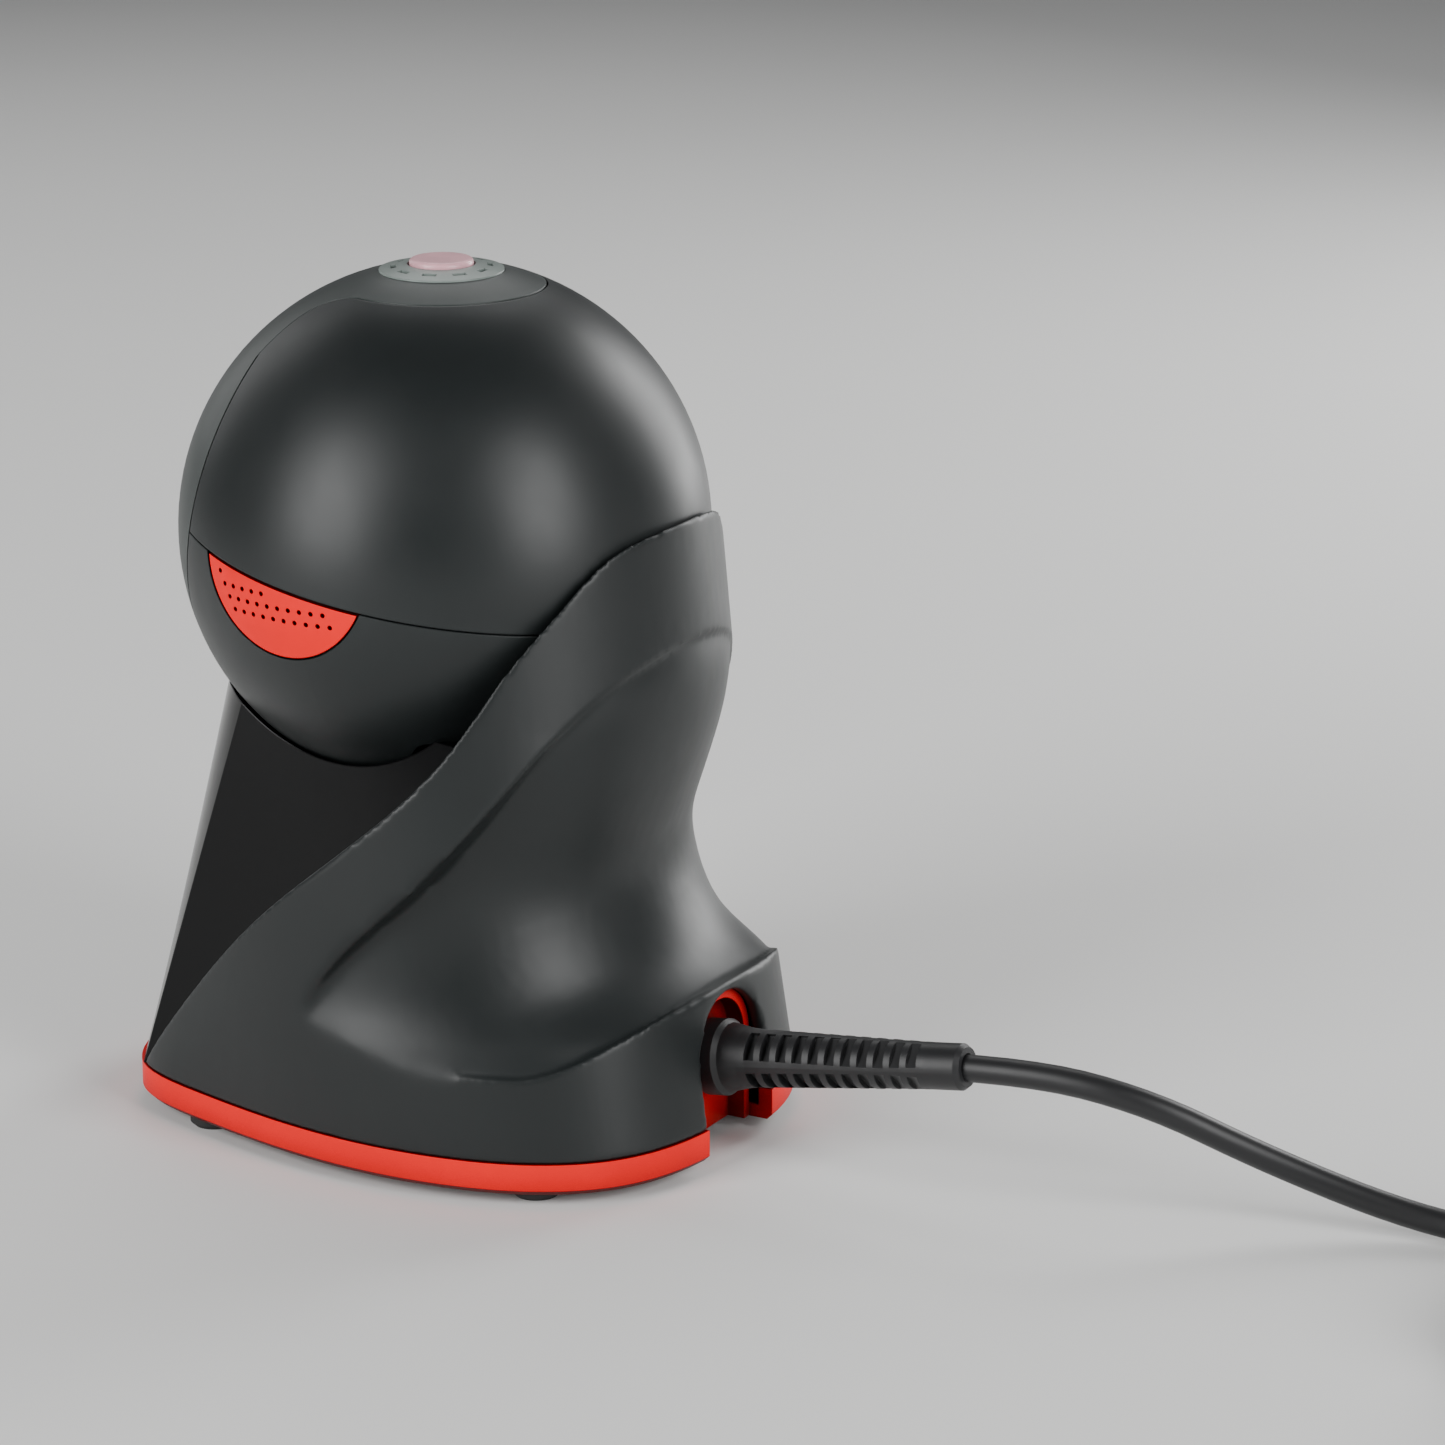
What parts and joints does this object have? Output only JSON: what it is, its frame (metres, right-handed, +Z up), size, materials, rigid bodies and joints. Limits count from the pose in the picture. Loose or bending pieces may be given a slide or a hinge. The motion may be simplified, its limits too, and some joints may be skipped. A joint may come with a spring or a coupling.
{
  "type": "flatbed barcode scanner",
  "caption": "Presentation barcode scanner: a ball-shaped scan head with top button and red side grilles tilts in a swept charcoal stand with a red bottom cover and a rear cord.",
  "frame": {"origin": "middle of the stand on the counter, under its bounding box", "axes": "+Z up, the scan window faces -Y, the cord leaves at +Y, +X to the left of someone facing the window"},
  "size_m": [0.1056, 0.3103, 0.1418],
  "materials": {
    "charcoal_shell": "satin moulded, fine spark texture",
    "grey_shell": "satin moulded, one shade lighter",
    "black_cover": "polished",
    "red_plastic": "semi-gloss moulded",
    "button_lens": "translucent, frosted",
    "indicator": "translucent grey",
    "soft_black": "matt",
    "cord_black": "satin PVC",
    "window": "tinted, polished",
    "lens": "coated, polished",
    "steel": "zinc plated",
    "nickel": "nickel plated",
    "circuit_board": "solder mask",
    "chip_black": "moulded epoxy",
    "inner_black": "moulded",
    "lens_black": "black anodised",
    "clear_plastic": "clear moulded",
    "lamp": "moulded lamp"
  },
  "bodies": {
    "base": {"base_shell": "charcoal_shell", "front_cover": "black_cover", "bottom_cover": "red_plastic", "rubber_feet": "soft_black", "base_screws": "steel", "ballast_plate": "steel", "ballast_screws": "steel", "friction_ring": "soft_black", "pressure_shoe": "inner_black", "tension_bolt": "steel", "tension_spring": "steel", "tension_washer": "steel", "tension_nut": "steel", "interface_board": "circuit_board", "interface_chips": "chip_black", "modular_jack": "inner_black", "modular_plug": "clear_plastic", "board_standoffs": "inner_black", "cable_boot": "cord_black", "cable": "cord_black", "cable_coil": "cord_black", "coil_tie": "cord_black", "cable_tail": "cord_black", "plug_grip": "cord_black", "plug_shell": "nickel", "plug_tongue": "inner_black"},
    "head": {"head_upper_shell": "charcoal_shell", "head_lower_shell": "charcoal_shell", "side_grille_right": "red_plastic", "side_grille_left": "red_plastic", "front_shell": "grey_shell", "window_gasket": "soft_black", "scan_window": "window", "indicator_ring": "indicator", "button_board": "circuit_board", "button_board_screws": "steel", "tact_switch": "chip_black", "led_board": "circuit_board", "engine_screws": "steel", "led_lamps": "lamp", "light_baffle": "inner_black", "lens_barrel": "lens_black", "lens_glass": "lens", "camera_holder": "inner_black", "sensor_board": "circuit_board", "sensor_posts": "steel", "image_sensor": "chip_black", "main_board": "circuit_board", "main_chips": "chip_black", "beeper": "chip_black", "board_frame": "inner_black", "head_screws": "steel"},
    "button": {"button": "button_lens"}
  },
  "joints": [
    {"name": "head_tilt", "type": "hinge", "parent": "base", "child": "head", "pos_m": [0, -0.002, 0.098], "axis": [1, 0, 0], "range_deg": [-5, 25]},
    {"name": "button_press", "type": "slide", "parent": "head", "child": "button", "axis": [0, 0, -1], "range_m": [0, 0.0008], "stiffness_N_per_m": 1200, "springref_m": -0.0006}
  ]
}
